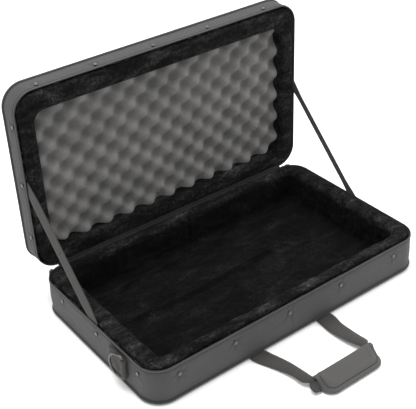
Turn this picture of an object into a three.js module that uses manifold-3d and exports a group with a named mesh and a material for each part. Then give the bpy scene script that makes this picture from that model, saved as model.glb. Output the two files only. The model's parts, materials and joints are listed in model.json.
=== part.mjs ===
// An open, soft, foam-bodied carrying case for a pedalboard, in millimetres, +Z up.
// The base lies flat with its front towards -Y. The lid stands open at a right angle on the
// fabric hinge along the back rim, held there by two flat stay straps.
import * as THREE from 'three';
import { mergeVertices } from 'three/addons/utils/BufferGeometryUtils.js';
import Module from 'manifold-3d';

const wasm = await Module();
wasm.setup();

// Driving dimensions of the whole case.
const WIDTH = 600; // outer width, along X
const DEPTH = 348; // outer depth, along Y
const BASE_HEIGHT = 71; // underside to rim
const LID_HEIGHT = 42; // rim to outer face
const CORNER_RADIUS = 40; // plan radius of the outer corners
const GAP = 0.3; // clearance between neighbouring pieces

// Build-up of the walls, from outside to inside.
const COVER = 2; // nylon cover
const WALL_SIDE = 38; // whole wall at the left and right
const WALL_END = 29; // whole wall at the front and back
const LINING = 2.2; // plush lining
const SLIT = 5; // open groove between the cover and the lining, where the stays tuck in
const SLIT_DEPTH = 17;
const TAPE_HEIGHT = 4.7; // zipper tape along the rim
const INNER_RADIUS = 13; // plan radius of the inner corners

// Floor of the base.
const FLOOR_FOAM = [3.4, 6.3];
const FLOOR_LINING = [6.6, 8.6];
const PAD = [8.9, 12.6];

// Convoluted foam pad in the lid.
const EGG_HALF_WIDTH = 265;
const EGG_NEAR = 34; // distance from the hinge line to the pad's near edge
const EGG_FAR = 306;
const EGG_FACE = 10; // depth of the pad's face below the lid's rim
const LID_BOARD = 36; // depth of the stiffener behind the pad

// Webbing, handles and rings.
const WEBBING = 2.4;
const HANDLE_X = -7; // centre of the handle's grip
const HANDLE_PIVOT = [-DEPTH / 2 - 3.5, 1.7]; // y, z
const HANDLE_LEGS = [-92, 58.5]; // centres of the two legs where they leave the base
const LEG_WIDTH = 32;
const GRIP_LENGTH = 120;
const STAY_REACH = 174; // hinge line to each end of a stay
const STAY_WIDTH = 24;
const STAY_THICKNESS = 1.4;
const RING_BAR_Y = -103;
const RING_Z = { left: 44, right: 30 };
const RING_TILT = { left: 12, right: 5 }; // degrees that each ring stands off its tab

const half = WIDTH / 2;
const halfDepth = DEPTH / 2;
const slitInner = COVER + SLIT;

const nylon = () => new THREE.MeshStandardMaterial({ color: 0x4f4f50, roughness: 0.75, metalness: 0 });
const plush = () => new THREE.MeshStandardMaterial({ color: 0x232322, roughness: 1, metalness: 0 });
const foam = () => new THREE.MeshStandardMaterial({ color: 0x676466, roughness: 0.95, metalness: 0 });
const core = () => new THREE.MeshStandardMaterial({ color: 0x8d8c88, roughness: 0.95, metalness: 0 });
const webbing = () => new THREE.MeshStandardMaterial({ color: 0x56534f, roughness: 0.85, metalness: 0 });
const binding = () => new THREE.MeshStandardMaterial({ color: 0x3a3a3b, roughness: 0.8, metalness: 0 });
const metal = () => new THREE.MeshStandardMaterial({ color: 0x77746f, roughness: 0.3, metalness: 1 });

// A closed triangle mesh with shared vertices, as a solid that can be joined and cut.
function toSolid(geometry) {
  const bare = geometry.clone();
  bare.deleteAttribute('normal');
  bare.deleteAttribute('uv');
  const merged = mergeVertices(bare, 1e-4);
  const vertProperties = new Float32Array(merged.attributes.position.array);
  const triVerts = new Uint32Array(merged.index.array);
  return new wasm.Manifold(new wasm.Mesh({ numProp: 3, vertProperties, triVerts }));
}

function toGeometry(solid) {
  const mesh = solid.getMesh();
  const geometry = new THREE.BufferGeometry();
  geometry.setAttribute('position', new THREE.BufferAttribute(new Float32Array(mesh.vertProperties), 3));
  geometry.setIndex(new THREE.BufferAttribute(new Uint32Array(mesh.triVerts), 1));
  geometry.computeVertexNormals();
  return geometry;
}

// A rectangle with round corners, as a Shape in X and Y.
function roundedRectangle(x0, x1, y0, y1, radius) {
  const shape = new THREE.Shape();
  shape.moveTo(x0 + radius, y0);
  shape.lineTo(x1 - radius, y0);
  shape.absarc(x1 - radius, y0 + radius, radius, -Math.PI / 2, 0, false);
  shape.lineTo(x1, y1 - radius);
  shape.absarc(x1 - radius, y1 - radius, radius, 0, Math.PI / 2, false);
  shape.lineTo(x0 + radius, y1);
  shape.absarc(x0 + radius, y1 - radius, radius, Math.PI / 2, Math.PI, false);
  shape.lineTo(x0, y0 + radius);
  shape.absarc(x0 + radius, y0 + radius, radius, Math.PI, 1.5 * Math.PI, false);
  return shape;
}

function extruded(shape, z0, z1, curveSegments = 6) {
  const geometry = new THREE.ExtrudeGeometry(shape, { depth: z1 - z0, bevelEnabled: false, curveSegments });
  return geometry.translate(0, 0, z0);
}

// A slab with the plan outline of the case, set in from the outside face by `inset`.
// The depth runs from y0 to y1, so that the base and the lid share it.
function slab(inset, y0, y1, z0, z1) {
  const radius = CORNER_RADIUS - inset;
  const outline = roundedRectangle(-half + inset, half - inset, y0 + inset, y1 - inset, radius);
  return toSolid(extruded(outline, z0, z1));
}

// A slab with the plan outline of the hollow, grown by `extra` all round.
function hollow(extra, y0, y1, z0, z1) {
  const side = half - WALL_SIDE + extra;
  const outline = roundedRectangle(-side, side, y0 + WALL_END - extra, y1 - WALL_END + extra, INNER_RADIUS + extra);
  return toSolid(extruded(outline, z0, z1));
}

function block(x0, x1, y0, y1, z0, z1) {
  const box = new THREE.BoxGeometry(x1 - x0, y1 - y0, z1 - z0);
  return toSolid(box.translate((x0 + x1) / 2, (y0 + y1) / 2, (z0 + z1) / 2));
}

function add(parent, name, shape, material) {
  const geometry = shape.isBufferGeometry ? shape : toGeometry(shape);
  const mesh = new THREE.Mesh(geometry, material);
  mesh.name = name;
  parent.add(mesh);
  return mesh;
}

const caseGroup = new THREE.Group();
const base = new THREE.Group();
const lid = new THREE.Group(); // drawn closed, with the hinge line as its X axis
lid.position.set(0, halfDepth, BASE_HEIGHT);
lid.rotation.x = -Math.PI / 2;
caseGroup.add(base, lid);

// ---------------------------------------------------------------- the two padded shells

const rimTape = BASE_HEIGHT - GAP - TAPE_HEIGHT; // where the zipper tape starts
const legSlots = HANDLE_LEGS.map((x) => {
  const side = LEG_WIDTH / 2 + 0.6;
  return block(x - side, x + side, -halfDepth - 10, -halfDepth + 60, -1, FLOOR_FOAM[0] - GAP);
});

function baseCover() {
  let cover = slab(0, -halfDepth, halfDepth, 0, rimTape - GAP);
  cover = cover.subtract(slab(COVER, -halfDepth, halfDepth, COVER, BASE_HEIGHT));
  return legSlots.reduce((solid, slot) => solid.subtract(slot), cover);
}

function baseFoam() {
  const top = BASE_HEIGHT - GAP - 4 - GAP;
  const outer = slab(COVER + GAP, -halfDepth, halfDepth, FLOOR_FOAM[0], BASE_HEIGHT - SLIT_DEPTH);
  const upper = slab(slitInner, -halfDepth, halfDepth, FLOOR_FOAM[0], top);
  return outer.add(upper).subtract(hollow(LINING + GAP, -halfDepth, halfDepth, FLOOR_FOAM[1], BASE_HEIGHT));
}

function baseLining() {
  const rim = BASE_HEIGHT - GAP;
  const tray = hollow(LINING, -halfDepth, halfDepth, FLOOR_LINING[0], rim);
  const flange = slab(slitInner, -halfDepth, halfDepth, rim - 4, rim);
  return tray.add(flange).subtract(hollow(0, -halfDepth, halfDepth, FLOOR_LINING[1], BASE_HEIGHT));
}

// The loose pad on the floor, with its raised fold.
function floorPad() {
  const pad = toSolid(extruded(roundedRectangle(-258, 200, -141, 118, 14), PAD[0], PAD[1]));
  return pad.add(block(-235, 186, 8, 22, PAD[0], PAD[1] + 6));
}

function ring(y0, y1, outerInset, innerInset, z0, z1) {
  return slab(outerInset, y0, y1, z0, z1).subtract(slab(innerInset, y0, y1, z0 - 1, z1 + 1));
}

add(base, 'base_cover', baseCover(), nylon());
add(base, 'base_foam_shell', baseFoam(), core());
add(base, 'base_lining', baseLining(), plush());
add(base, 'base_floor_pad', floorPad(), plush());
add(base, 'base_bottom_piping', ring(-halfDepth, halfDepth, -1.8, -GAP, 3.6, 8.8), binding());
add(base, 'base_zipper_tape', ring(-halfDepth, halfDepth, 0, COVER, rimTape, BASE_HEIGHT - GAP), webbing());

const lidNear = 0; // lid depth runs from -DEPTH at its free edge to 0 at the hinge
const lidTape = GAP + TAPE_HEIGHT;
const lidCaps = LID_HEIGHT - COVER;

function eggPocket(extra, z0, z1) {
  const side = EGG_HALF_WIDTH + extra;
  const outline = roundedRectangle(-side, side, -EGG_FAR - extra, -EGG_NEAR + extra, 22 + extra);
  return toSolid(extruded(outline, z0, z1));
}

function lidCover() {
  const cover = slab(0, -DEPTH, lidNear, lidTape + GAP, LID_HEIGHT);
  return cover.subtract(slab(COVER, -DEPTH, lidNear, 0, lidCaps));
}

function lidFoam() {
  const outer = slab(COVER + GAP, -DEPTH, lidNear, SLIT_DEPTH, lidCaps - GAP);
  const upper = slab(slitInner, -DEPTH, lidNear, 4 + 2 * GAP, lidCaps - GAP);
  return outer.add(upper).subtract(eggPocket(2 * GAP, 0, LID_BOARD));
}

function lidLining() {
  return slab(slitInner, -DEPTH, lidNear, GAP, GAP + 4).subtract(eggPocket(2 * GAP, -1, LID_BOARD));
}

add(lid, 'lid_cover', lidCover(), nylon());
add(lid, 'lid_foam_shell', lidFoam(), core());
add(lid, 'lid_lining', lidLining(), plush());
add(lid, 'lid_convoluted_foam', eggPocket(0, EGG_FACE, LID_BOARD - GAP), foam());
add(lid, 'lid_outer_piping', ring(-DEPTH, lidNear, -1.8, -GAP, LID_HEIGHT - 5.5, LID_HEIGHT - 0.3), binding());
add(lid, 'lid_zipper_tape', ring(-DEPTH, lidNear, 0, COVER, GAP, lidTape), webbing());

// The strip of cover fabric behind the rim, on which the lid turns.
add(base, 'hinge_strip', block(-262, 262, halfDepth + GAP, halfDepth + 1.3, 52, BASE_HEIGHT - 0.6), nylon());

// ---------------------------------------------------------------- rivets along the rims

const RIVET_RADIUS = 3;
const RIVET_HEIGHT = 1.5;
const BASE_RIVET_Z = 50;
const LID_RIVET_Z = 13; // from the lid's rim
const FRONT_RIVETS = [-247, -135, -18, 100, 231];
const BASE_SIDE_RIVETS = [100, -11, -133];
const LID_SIDE_RIVETS = [-70, -176, -287]; // along the lid's depth, from the hinge

// A tubular rivet's head: a low ring with a dished centre, standing on the face along `normal`.
function rivet(parent, name, position, normal) {
  const profile = [
    new THREE.Vector2(0, 0),
    new THREE.Vector2(RIVET_RADIUS, 0),
    new THREE.Vector2(RIVET_RADIUS * 0.8, RIVET_HEIGHT),
    new THREE.Vector2(RIVET_RADIUS * 0.45, RIVET_HEIGHT),
    new THREE.Vector2(0, RIVET_HEIGHT * 0.5),
  ];
  const head = new THREE.LatheGeometry(profile, 10);
  const mesh = add(parent, name, toSolid(head), metal());
  mesh.position.copy(position).addScaledVector(normal, GAP);
  mesh.quaternion.setFromUnitVectors(new THREE.Vector3(0, 1, 0), normal);
}

const FRONT = new THREE.Vector3(0, -1, 0);
FRONT_RIVETS.forEach((x, i) => {
  rivet(base, `base_rivet_front_${i + 1}`, new THREE.Vector3(x, -halfDepth, BASE_RIVET_Z), FRONT);
  rivet(lid, `lid_rivet_front_${i + 1}`, new THREE.Vector3(x, -DEPTH, LID_RIVET_Z), FRONT);
});
for (const [side, sign] of [['left', -1], ['right', 1]]) {
  const outward = new THREE.Vector3(sign, 0, 0);
  for (let i = 0; i < 3; i += 1) {
    const onBase = new THREE.Vector3(sign * half, BASE_SIDE_RIVETS[i], BASE_RIVET_Z + 2);
    const onLid = new THREE.Vector3(sign * half, LID_SIDE_RIVETS[i], LID_RIVET_Z);
    rivet(base, `base_rivet_${side}_${i + 1}`, onBase, outward);
    rivet(lid, `lid_rivet_${side}_${i + 1}`, onLid, outward);
  }
}

// ---------------------------------------------------------------- stay straps

// Each stay is one flat strap from the base's rim to the lid's, folding at its middle.
// Its halves lie side by side in the slits when the lid is shut.
const stayHalf = (STAY_REACH * Math.SQRT2) / 2;

function stay(name, x, y, z, angle) {
  const round = STAY_WIDTH / 2;
  const outline = new THREE.Shape();
  outline.moveTo(0, -round);
  outline.lineTo(stayHalf, -round);
  outline.absarc(stayHalf, 0, round, -Math.PI / 2, Math.PI / 2, false);
  outline.lineTo(0, round);
  outline.absarc(0, 0, round, Math.PI / 2, 1.5 * Math.PI, false);
  const strap = extruded(outline, -STAY_THICKNESS / 2, STAY_THICKNESS / 2, 5);
  const along = new THREE.Vector3(0, Math.cos(angle), Math.sin(angle));
  const across = new THREE.Vector3(0, -Math.sin(angle), Math.cos(angle));
  strap.applyMatrix4(new THREE.Matrix4().makeBasis(along, across, new THREE.Vector3(1, 0, 0)));
  add(base, name, toSolid(strap.translate(x, y, z)), webbing());
}

for (const [side, sign] of [['left', -1], ['right', 1]]) {
  const middle = half - COVER - SLIT / 2;
  const offset = STAY_THICKNESS / 2 + 0.2;
  stay(`stay_lower_${side}`, sign * (middle - offset), halfDepth - STAY_REACH, BASE_HEIGHT, Math.PI / 4);
  stay(`stay_upper_${side}`, sign * (middle + offset), halfDepth, BASE_HEIGHT + STAY_REACH, 1.25 * Math.PI);
}

// ---------------------------------------------------------------- handles

// A flat loop of webbing in plan: two legs from y = 0 to a bar, each leg narrowing to the bar's width.
function handleLoop(reach, barWidth, grip) {
  const [left, right] = HANDLE_LEGS.map((x) => x - HANDLE_X);
  const wide = LEG_WIDTH / 2;
  const inner = grip / 2 + 2;
  const outer = inner + barWidth;
  const shape = new THREE.Shape();
  shape.moveTo(left - wide, 0);
  shape.quadraticCurveTo(-outer, -reach * 0.2, -outer, -reach * 0.5);
  shape.lineTo(-outer, -reach + barWidth / 2);
  shape.quadraticCurveTo(-outer, -reach, -outer + barWidth / 2, -reach);
  shape.lineTo(outer - barWidth / 2, -reach);
  shape.quadraticCurveTo(outer, -reach, outer, -reach + barWidth / 2);
  shape.lineTo(outer, -reach * 0.5);
  shape.quadraticCurveTo(outer, -reach * 0.2, right + wide, 0);
  shape.lineTo(right - wide, 0);
  shape.quadraticCurveTo(inner, -reach * 0.3, inner, -reach * 0.6);
  shape.lineTo(inner, -reach + barWidth);
  shape.lineTo(-inner, -reach + barWidth);
  shape.lineTo(-inner, -reach * 0.6);
  shape.quadraticCurveTo(-inner, -reach * 0.3, left + wide, 0);
  return shape;
}

const BAR_WIDTH = 18;
const BASE_REACH = 134; // pivot to the far side of the bar
const BAR_LIFT = 5.4; // the bar lies this much higher than the legs' ends

function baseHandle() {
  const loop = extruded(handleLoop(BASE_REACH, BAR_WIDTH, GRIP_LENGTH), -WEBBING / 2, WEBBING / 2, 5);
  const point = loop.attributes.position;
  for (let i = 0; i < point.count; i += 1) {
    const along = THREE.MathUtils.smoothstep(-point.getY(i), 15, BASE_REACH * 0.75);
    point.setZ(i, point.getZ(i) + BAR_LIFT * along);
  }
  return toSolid(loop);
}

// The padded wrap round the bar: a folded sleeve lying tilted, with a slot for the bar.
function gripWrap() {
  const section = new THREE.Shape();
  section.moveTo(-150, 4);
  section.lineTo(-118, 19.5);
  section.quadraticCurveTo(-108, 21, -106, 14);
  section.lineTo(-108, 1);
  section.quadraticCurveTo(-130, -1.2, -150, 0);
  const slot = new THREE.Path();
  const y0 = -BASE_REACH - 0.6;
  const y1 = y0 + BAR_WIDTH + 1.2;
  const z0 = BAR_LIFT - WEBBING / 2 - 0.5;
  const z1 = BAR_LIFT + WEBBING / 2 + 0.5;
  slot.setFromPoints([[y0, z0], [y1, z0], [y1, z1], [y0, z1]].map(([y, z]) => new THREE.Vector2(y, z)));
  section.holes.push(slot);
  const sleeve = extruded(section, -GRIP_LENGTH / 2, GRIP_LENGTH / 2, 5);
  const yAxis = new THREE.Vector3(0, 1, 0);
  const zAxis = new THREE.Vector3(0, 0, 1);
  sleeve.applyMatrix4(new THREE.Matrix4().makeBasis(yAxis, zAxis, new THREE.Vector3(1, 0, 0)));
  return toSolid(sleeve);
}

const handle = new THREE.Group();
handle.position.set(HANDLE_X, HANDLE_PIVOT[0], HANDLE_PIVOT[1]);
caseGroup.add(handle);
add(handle, 'handle_webbing', baseHandle(), webbing());
add(handle, 'handle_wrap', gripWrap(), webbing());

HANDLE_LEGS.forEach((x, i) => {
  const name = `handle_anchor_${i === 0 ? 'left' : 'right'}`;
  const side = LEG_WIDTH / 2;
  const zMiddle = HANDLE_PIVOT[1];
  const strip = block(x - side, x + side, -halfDepth - 1.9, -halfDepth + 59, zMiddle - 1.2, zMiddle + 1.2);
  add(base, name, strip, webbing());
});

// The lid's own loop hangs down behind the lid from its free edge, resting on the pocket.
const LID_REACH = 128;
const LID_HANDLE_TILT = 9;
const lidHandle = new THREE.Group();
lidHandle.position.set(HANDLE_X, -DEPTH - 3.2, LID_HEIGHT + 2.4);
lidHandle.rotation.x = Math.PI + THREE.MathUtils.degToRad(LID_HANDLE_TILT);
lid.add(lidHandle);
const lidLoop = extruded(handleLoop(LID_REACH, LEG_WIDTH - 4, 56), -WEBBING / 2, WEBBING / 2, 5);
add(lidHandle, 'lid_handle_webbing', toSolid(lidLoop), webbing());

// ---------------------------------------------------------------- D-rings on their tabs

const RING_OFF = 6.2; // the bar's distance from the side wall
const RING_WIRE = 4;
const RING_HALF = 25; // half the ring's outer height
const RING_DEPTH = 34; // bar to the top of the bow
const TAB_PLATE = [2.8, 46, 40]; // thickness, length, height
const TAB_SLEEVE_RADIUS = 5.6;
const TAB_BORE_RADIUS = 3.3;

function ringTab() {
  const [thickness, length, tall] = TAB_PLATE;
  const barrel = (radius, height) =>
    toSolid(new THREE.CylinderGeometry(radius, radius, height, 16).rotateX(Math.PI / 2).translate(-RING_OFF, 0, 0));
  const plate = block(-thickness, -GAP, 0, length, -tall / 2, tall / 2);
  return plate.add(barrel(TAB_SLEEVE_RADIUS, tall)).subtract(barrel(TAB_BORE_RADIUS, tall * 1.5));
}

// A flat D: a straight bar along Z and a round bow, cut from one thickness of wire.
function ringShape() {
  const outline = (reach, tall, back) => {
    const shape = new THREE.Shape();
    const radius = tall * 0.9;
    shape.moveTo(-tall, back);
    shape.lineTo(tall, back);
    shape.lineTo(tall, reach - radius);
    shape.absellipse(0, reach - radius, tall, radius, 0, Math.PI, false, 0);
    return shape;
  };
  const shape = outline(RING_DEPTH + RING_WIRE / 2, RING_HALF, -RING_WIRE / 2);
  shape.holes.push(outline(RING_DEPTH - RING_WIRE / 2, RING_HALF - RING_WIRE, RING_WIRE / 2));
  const plate = extruded(shape, -RING_WIRE / 2, RING_WIRE / 2, 8);
  // the shape's X becomes the bar's Z, its Y stays along the bow
  const basis = new THREE.Matrix4();
  basis.makeBasis(new THREE.Vector3(0, 0, 1), new THREE.Vector3(0, 1, 0), new THREE.Vector3(-1, 0, 0));
  return toSolid(plate.applyMatrix4(basis));
}

for (const [side, sign] of [['left', -1], ['right', 1]]) {
  const tab = new THREE.Group();
  tab.position.set(sign * half, RING_BAR_Y, RING_Z[side]);
  const tabShape = sign < 0 ? ringTab() : ringTab().mirror([1, 0, 0]);
  add(tab, `dring_tab_${side}`, tabShape, webbing());
  const dring = new THREE.Group();
  dring.position.set(sign * (half + RING_OFF), RING_BAR_Y, RING_Z[side]);
  dring.rotation.z = THREE.MathUtils.degToRad(-sign * RING_TILT[side]);
  add(dring, `dring_${side}`, ringShape(), metal());
  caseGroup.add(tab, dring);
}

// ---------------------------------------------------------------- zipper sliders

const SLIDER_ANGLE = 62; // round the back corner, from the side wall
const SLIDER = [4.2, 12, 8]; // off the wall, along the tape, up
const SLIDER_TOP = BASE_HEIGHT - 1;

for (const [side, sign] of [['left', -1], ['right', 1]]) {
  const angle = THREE.MathUtils.degToRad(SLIDER_ANGLE);
  const corner = new THREE.Group();
  corner.position.set(sign * (half - CORNER_RADIUS), halfDepth - CORNER_RADIUS, 0);
  corner.rotation.z = sign > 0 ? angle : Math.PI - angle;
  const inner = CORNER_RADIUS + 0.9;
  const outer = inner + SLIDER[0];
  const z0 = SLIDER_TOP - SLIDER[2];
  const bodyBlock = block(inner, outer, -SLIDER[1] / 2, SLIDER[1] / 2, z0, SLIDER_TOP);
  add(corner, `zipper_slider_${side}`, bodyBlock, metal());
  const pull = block(outer + GAP, outer + 2.1, -3.5, 3.5, z0 - 18, z0 + 4);
  const eye = block(outer, outer + 3, -1.8, 1.8, z0 - 15, z0 - 8);
  add(corner, `zipper_pull_${side}`, pull.subtract(eye), metal());
  caseGroup.add(corner);
}

// ---------------------------------------------------------------- pocket on the lid's outer face

// A crowned pocket: three stacked slabs, each set further in.
const POCKET_STEPS = [[9, 2.5], [30, 5], [60, 8]];
const POCKET_RADIUS = 75;
const POCKET_ZIP_Y = -DEPTH + 80;
const POCKET_ZIP_HALF = 190;

function pocket() {
  const layers = POCKET_STEPS.map(([inset, height]) => {
    const radius = POCKET_RADIUS - inset * 0.4;
    const x = half - inset;
    const outline = roundedRectangle(-x, x, -DEPTH + inset, -inset, radius);
    return toSolid(extruded(outline, LID_HEIGHT + GAP, LID_HEIGHT + height));
  });
  return layers.reduce((solid, layer) => solid.add(layer));
}

add(lid, 'lid_pocket', pocket(), nylon());
const zipBottom = LID_HEIGHT + POCKET_STEPS[2][1] + GAP;
const zipHalf = POCKET_ZIP_HALF;
const zip = block(-zipHalf, zipHalf, POCKET_ZIP_Y - 4, POCKET_ZIP_Y + 4, zipBottom, zipBottom + 1.2);
add(lid, 'pocket_zipper', zip, binding());
const pocketSlider = new THREE.Group();
pocketSlider.position.set(-zipHalf + 12, POCKET_ZIP_Y, zipBottom + 1.5);
lid.add(pocketSlider);
add(pocketSlider, 'pocket_slider', block(-6, 6, -4, 4, 0, 3).add(block(5, 26, -3, 3, 1, 2.6)), metal());

export default caseGroup;
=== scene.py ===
"""An open, soft, foam-bodied carrying case for a pedalboard: the looks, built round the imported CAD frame.

Shapes are worked out in millimetres and scaled to metres when a mesh is made. The base stands with its
front towards -Y. The lid is drawn shut, lying on the base's rim, and turned open about the hinge line.
"""

import json
import math

import bpy
import numpy as np
from mathutils import Matrix, Vector, noise

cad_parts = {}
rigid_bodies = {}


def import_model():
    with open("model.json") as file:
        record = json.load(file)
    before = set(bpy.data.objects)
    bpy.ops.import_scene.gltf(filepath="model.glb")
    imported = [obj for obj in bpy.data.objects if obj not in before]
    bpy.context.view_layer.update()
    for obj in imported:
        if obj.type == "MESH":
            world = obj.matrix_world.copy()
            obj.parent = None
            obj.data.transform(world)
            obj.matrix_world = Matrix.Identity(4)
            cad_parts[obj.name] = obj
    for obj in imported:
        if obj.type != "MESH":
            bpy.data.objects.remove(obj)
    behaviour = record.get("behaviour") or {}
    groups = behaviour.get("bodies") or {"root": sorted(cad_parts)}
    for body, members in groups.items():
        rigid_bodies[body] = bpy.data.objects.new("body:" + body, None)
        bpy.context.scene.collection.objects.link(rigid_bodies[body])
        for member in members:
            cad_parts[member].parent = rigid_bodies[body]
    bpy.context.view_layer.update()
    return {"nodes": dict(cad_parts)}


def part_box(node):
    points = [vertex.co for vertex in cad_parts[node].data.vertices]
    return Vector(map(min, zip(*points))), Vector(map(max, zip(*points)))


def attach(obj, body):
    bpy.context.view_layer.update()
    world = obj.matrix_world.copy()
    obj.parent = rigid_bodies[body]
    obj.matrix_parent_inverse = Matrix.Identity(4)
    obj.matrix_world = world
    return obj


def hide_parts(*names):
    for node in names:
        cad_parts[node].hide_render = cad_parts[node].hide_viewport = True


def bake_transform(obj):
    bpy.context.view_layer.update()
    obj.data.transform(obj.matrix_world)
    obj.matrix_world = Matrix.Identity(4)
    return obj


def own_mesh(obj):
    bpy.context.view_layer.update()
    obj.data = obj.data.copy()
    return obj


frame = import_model()
MM = 0.001


def box_mm(node):
    low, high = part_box(node)
    return np.array(low) / MM, np.array(high) / MM


# Driving dimensions, from the frame.
COVER_LOW, COVER_HIGH = box_mm("base_cover")
HALF = COVER_HIGH[0]
BACK = COVER_HIGH[1]
FRONT = COVER_LOW[1]
DEPTH = BACK - FRONT
RIM = box_mm("base_zipper_tape")[1][2] + 0.3
LID_TOP = box_mm("lid_cover")[1]
LID_THICK = LID_TOP[1] - BACK
TAPE_LOW = box_mm("base_zipper_tape")[0][2]
SLIT_INNER = HALF - box_mm("base_lining")[1][0]
FLOOR = box_mm("base_lining")[0][2]
EGG_LOW, EGG_HIGH = box_mm("lid_convoluted_foam")
RADIUS = 40.0  # plan radius of the case's corners
WALL_SIDE = 38.0
WALL_END = 29.0
INNER_RADIUS = 13.0
STEP = 3.0  # usual spacing of points round the case
RING_BAR = (306.2, -103.0)  # X and Y of each D-ring's bar
RING_TILT = {"left": 12, "right": 5}  # degrees off the wall
LID_PIVOT = (218.4, 422.2)  # Y and Z of the lid handle's pivot
LID_HANDLE_TILT = 9  # degrees
SLIDER_CORNER = (260.0, 134.0)  # centre of the back corner that the zip slider goes round
SLIDER_ANGLE = 62  # degrees round that corner from the side wall


# ---- camera

LENS = 81.66  # millimetres, on a 36 mm sensor
CAMERA_PLACE = (-0.8424, -1.0924, 1.0740)
CAMERA_AIM = (0.4914, 0.6790, -0.5454)
CAMERA_ROLL = 2.66  # degrees


def make_camera():
    """A long lens from the front left and above, with a small roll."""
    data = bpy.data.cameras.new("camera")
    data.lens = LENS
    data.clip_end = 20
    camera = bpy.data.objects.new("camera", data)
    bpy.context.scene.collection.objects.link(camera)
    ahead = Vector(CAMERA_AIM).normalized()
    right = ahead.cross(Vector((0, 0, 1))).normalized()
    roll = Matrix.Rotation(math.radians(CAMERA_ROLL), 3, ahead)
    right = roll @ right
    up = right.cross(ahead)
    turn = Matrix((right, up, -ahead)).transposed()
    camera.matrix_world = Matrix.Translation(Vector(CAMERA_PLACE)) @ turn.to_4x4()
    bpy.context.scene.camera = camera


make_camera()


# ---- node materials

NODE_SETTINGS = ("bands_direction", "uv_map", "blend_type")


class Nodes:
    """A material's node tree, with short calls to add and join nodes."""

    def __init__(self, name):
        self.material = bpy.data.materials.new(name)
        self.material.use_nodes = True
        self.tree = self.material.node_tree
        self.inputs = self.tree.nodes["Principled BSDF"].inputs

    def add(self, kind, **inputs):
        node = self.tree.nodes.new("ShaderNode" + kind)
        for key, value in inputs.items():
            if key in NODE_SETTINGS:
                setattr(node, key, value)
            else:
                self.feed(node.inputs[key.replace("_", " ")], value)
        return node

    def feed(self, socket, value):
        if isinstance(value, bpy.types.NodeSocket):
            self.tree.links.new(value, socket)
        else:
            socket.default_value = value

    def math(self, operation, a, b, c=0.0):
        node = self.tree.nodes.new("ShaderNodeMath")
        node.operation = operation
        for socket, value in zip(node.inputs, (a, b, c)):
            self.feed(socket, value)
        return node.outputs[0]

    def mix(self, a, share_a, b, share_b):
        return self.math("ADD", self.math("MULTIPLY", a, share_a), self.math("MULTIPLY", b, share_b))

    def noise(self, scale, detail=4.0, roughness=0.6, vector=None, distortion=0.0):
        node = self.add("TexNoise", Scale=scale, Detail=detail, Roughness=roughness, Distortion=distortion)
        self.feed(node.inputs["Vector"], vector or self.place())
        return node.outputs["Fac"]

    def place(self):
        return self.add("TexCoord").outputs["Object"]

    def stretch(self, axis, low, high, start=0.0, end=1.0):
        """A value running from start to end as the object's coordinate on an axis runs from low to high."""
        along = self.add("SeparateXYZ", Vector=self.place()).outputs[axis]
        spans = {"From_Min": low, "From_Max": high, "To_Min": start, "To_Max": end}
        return self.add("MapRange", Value=along, **spans).outputs[0]

    def times(self, color, factor):
        return self.add("MixRGB", blend_type="MULTIPLY", Fac=1.0, Color1=color, Color2=factor).outputs[0]

    def ramp(self, value, stops):
        node = self.tree.nodes.new("ShaderNodeValToRGB")
        self.feed(node.inputs[0], value)
        elements = node.color_ramp.elements
        while len(elements) < len(stops):
            elements.new(0.5)
        for element, (position, color) in zip(elements, stops):
            element.position = position
            element.color = (*color, 1)
        return node.outputs[0]

    def bump(self, height, distance, strength=1.0, normal=None):
        node = self.add("Bump", Height=height, Distance=distance, Strength=strength)
        if normal is not None:
            self.feed(node.inputs["Normal"], normal)
        return node.outputs[0]

    def done(self, color, roughness, **others):
        """Sets the shader's inputs and gives the material."""
        for key, value in {"Base_Color": color, "Roughness": roughness, **others}.items():
            self.feed(self.inputs[key.replace("_", " ")], value)
        return self.material


WAVE_TURNS = 20  # a wave texture's bands to 2 pi of its coordinate, at scale 1
MOTTLING = 0.12
SPECKLE = 0.2


def grey(level, warm=0.0):
    """A near-neutral colour from an sRGB level of 0 to 255, `warm` levels redder than it is blue."""
    channels = (level + warm, level, level - warm)
    return tuple(((c / 255 + 0.055) / 1.055) ** 2.4 if c > 10 else c / 255 / 12.92 for c in channels)


def scaled(color, factor):
    return tuple(c * factor for c in color)


def woven(name, color, pitch, depth, roughness, sheen, ribs=False):
    """Cloth woven at `pitch` metres on the UV map "weave", which is in metres."""
    n = Nodes(name)
    uv = n.add("UVMap", uv_map="weave").outputs[0]
    scale = 2 * math.pi / WAVE_TURNS / pitch
    warp = n.add("TexWave", bands_direction="X", Scale=scale, Vector=uv).outputs["Fac"]
    weft_scale = scale * (0.5 if ribs else 1.0)
    weft = n.add("TexWave", bands_direction="Y", Scale=weft_scale, Vector=uv).outputs["Fac"]
    if ribs:
        threads = n.mix(warp, 0.35, weft, 0.65)
    else:
        over = n.math("MULTIPLY", n.math("SUBTRACT", warp, 0.5), n.math("SUBTRACT", weft, 0.5))
        threads = n.math("MULTIPLY_ADD", over, 2.0, 0.5)
    fuzz = n.noise(2600, 3, 0.7)
    cloudy = n.noise(9, 5, 0.6)
    tone = n.math("MULTIPLY_ADD", cloudy, 4 * MOTTLING, n.mix(threads, 0.35, fuzz, SPECKLE))
    middle = 0.35 / 2 + SPECKLE / 2 + 2 * MOTTLING
    stops = [(middle - 0.25, scaled(color, 0.72)), (middle, color), (middle + 0.25, scaled(color, 1.3))]
    rough = n.math("MULTIPLY_ADD", cloudy, 0.15, roughness - 0.07)
    normal = n.bump(fuzz, depth * 0.6, 0.6, n.bump(threads, depth))
    return n.done(n.ramp(tone, stops), rough, Normal=normal, Sheen_Weight=sheen, Sheen_Roughness=0.5)


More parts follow.
